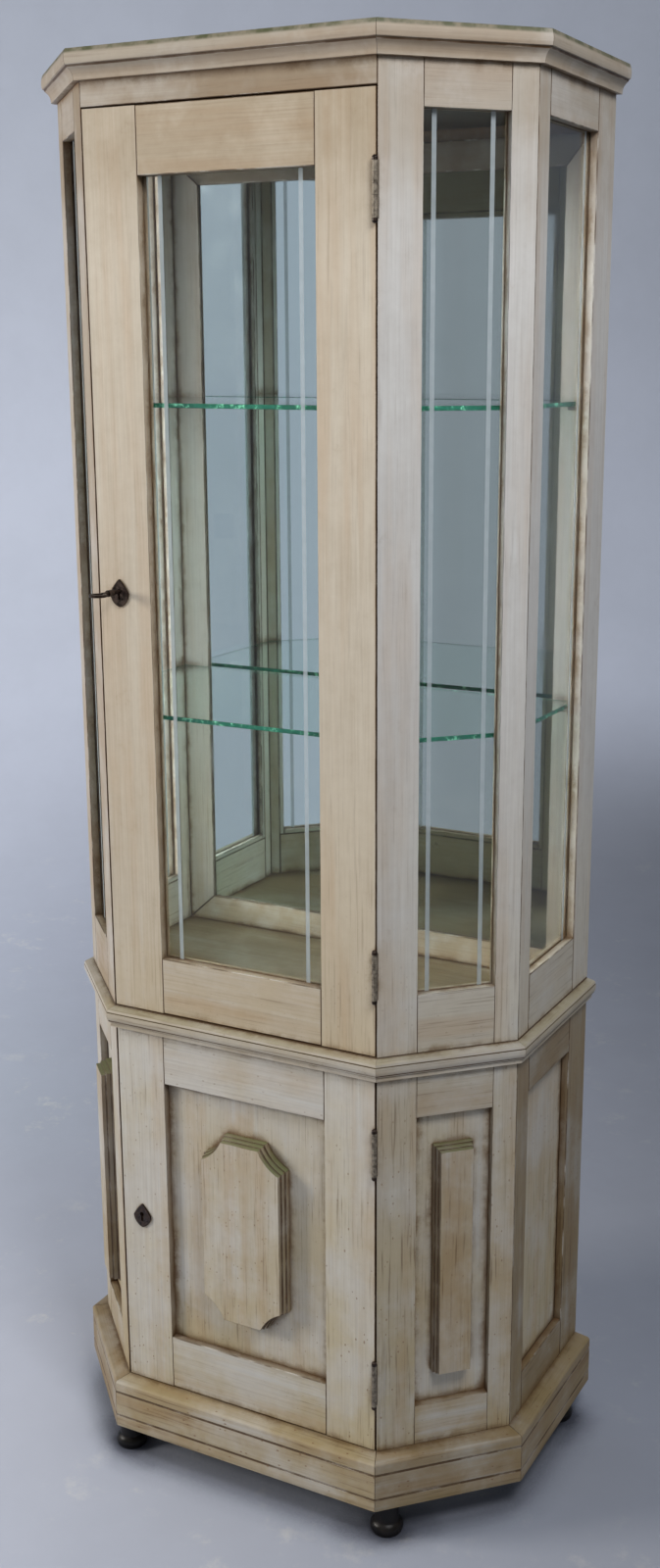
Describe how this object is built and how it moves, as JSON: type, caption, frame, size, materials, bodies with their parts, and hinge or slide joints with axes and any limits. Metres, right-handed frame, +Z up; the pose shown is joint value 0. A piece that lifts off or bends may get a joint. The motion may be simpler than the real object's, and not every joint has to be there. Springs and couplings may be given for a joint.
{
  "type": "display cabinet",
  "caption": "Tall glazed display cabinet with canted front corners, glass shelves before a framed mirror, a panelled cupboard below, hinged locking doors, a moulded plinth and turned feet.",
  "frame": {"origin": "middle of the base of the object's box, on the floor", "axes": "+Z up, front and doors towards -Y, hinges on the +X side, locks on the -X side"},
  "size_m": [0.754, 0.476, 2],
  "materials": {
    "case_paint": "aged cream paint, satin, worn and darkened in the joints",
    "door_paint": "aged cream paint, satin, warmer",
    "inside_paint": "plain matt paint",
    "window_glass": "clear, with narrow frosted stripes",
    "shelf_glass": "clear, green at the edges",
    "mirror": "polished",
    "dark_feet": "near-black stain, satin",
    "hinge_iron": "dull, aged",
    "dark_iron": "dark brown, satin",
    "lock_metal": "brushed"
  },
  "bodies": {
    "case": {"feet": "dark_feet", "plinth_front": "case_paint", "plinth_left": "case_paint", "plinth_right": "case_paint", "plinth_back": "inside_paint", "base_board": "inside_paint", "lower_cant_frame_left": "case_paint", "lower_cant_frame_right": "case_paint", "lower_side_frame_left": "case_paint", "lower_side_frame_right": "case_paint", "lower_panels_left": "case_paint", "lower_panels_right": "case_paint", "lower_cant_plaques": "case_paint", "lower_back_panel": "inside_paint", "deck_board": "inside_paint", "waist_front": "case_paint", "waist_left": "case_paint", "waist_right": "case_paint", "upper_cant_frame_left": "case_paint", "upper_cant_frame_right": "case_paint", "upper_side_frame_left": "case_paint", "upper_side_frame_right": "case_paint", "glazing_beads_left": "case_paint", "glazing_beads_right": "case_paint", "fascia_rail": "case_paint", "ceiling_board": "inside_paint", "top_board": "inside_paint", "cornice_front": "case_paint", "cornice_left": "case_paint", "cornice_right": "case_paint", "back_board": "inside_paint", "mirror_frame": "case_paint", "cant_glass_left": "window_glass", "cant_glass_right": "window_glass", "side_glass_left": "window_glass", "side_glass_right": "window_glass", "glass_shelf_lower": "shelf_glass", "glass_shelf_upper": "shelf_glass", "mirror": "mirror", "shelf_pegs": "lock_metal", "case_hinge_leaves": "hinge_iron", "hinge_pins": "hinge_iron"},
    "upper_door": {"upper_door_stiles": "door_paint", "upper_door_rails": "door_paint", "door_glass": "window_glass", "door_beads": "door_paint", "upper_door_hinge_leaves": "hinge_iron", "upper_escutcheon": "dark_iron", "upper_lock_case": "lock_metal"},
    "key": {"key": "dark_iron"},
    "upper_bolt": {"upper_bolt": "lock_metal"},
    "lower_door": {"lower_door_stiles": "case_paint", "lower_door_rails": "case_paint", "lower_door_panel": "case_paint", "lower_door_plaque": "case_paint", "lower_door_hinge_leaves": "hinge_iron", "lower_escutcheon": "dark_iron", "lower_lock_case": "lock_metal"},
    "lower_bolt": {"lower_bolt": "lock_metal"}
  },
  "joints": [
    {"name": "upper_door_hinge", "type": "hinge", "parent": "case", "child": "upper_door", "pos_m": [0.209, -0.18105, 1.33], "axis": [0, 0, 1], "range_deg": [0, 170]},
    {"name": "lower_door_hinge", "type": "hinge", "parent": "case", "child": "lower_door", "pos_m": [0.2087, -0.18105, 0.414], "axis": [0, 0, 1], "range_deg": [0, 170]},
    {"name": "key_turn", "type": "hinge", "parent": "upper_door", "child": "key", "pos_m": [-0.1755, -0.177, 1.324], "axis": [0, 1, 0], "range_deg": [0, 180]},
    {"name": "upper_bolt_slide", "type": "slide", "parent": "upper_door", "child": "upper_bolt", "axis": [-1, 0, 0], "range_m": [0, 0.008]},
    {"name": "lower_bolt_slide", "type": "slide", "parent": "lower_door", "child": "lower_bolt", "axis": [-1, 0, 0], "range_m": [0, 0.008]}
  ],
  "couplings": [
    {"joint": "key_turn", "follows": "upper_bolt_slide", "rad_per_m": 392.69}
  ]
}
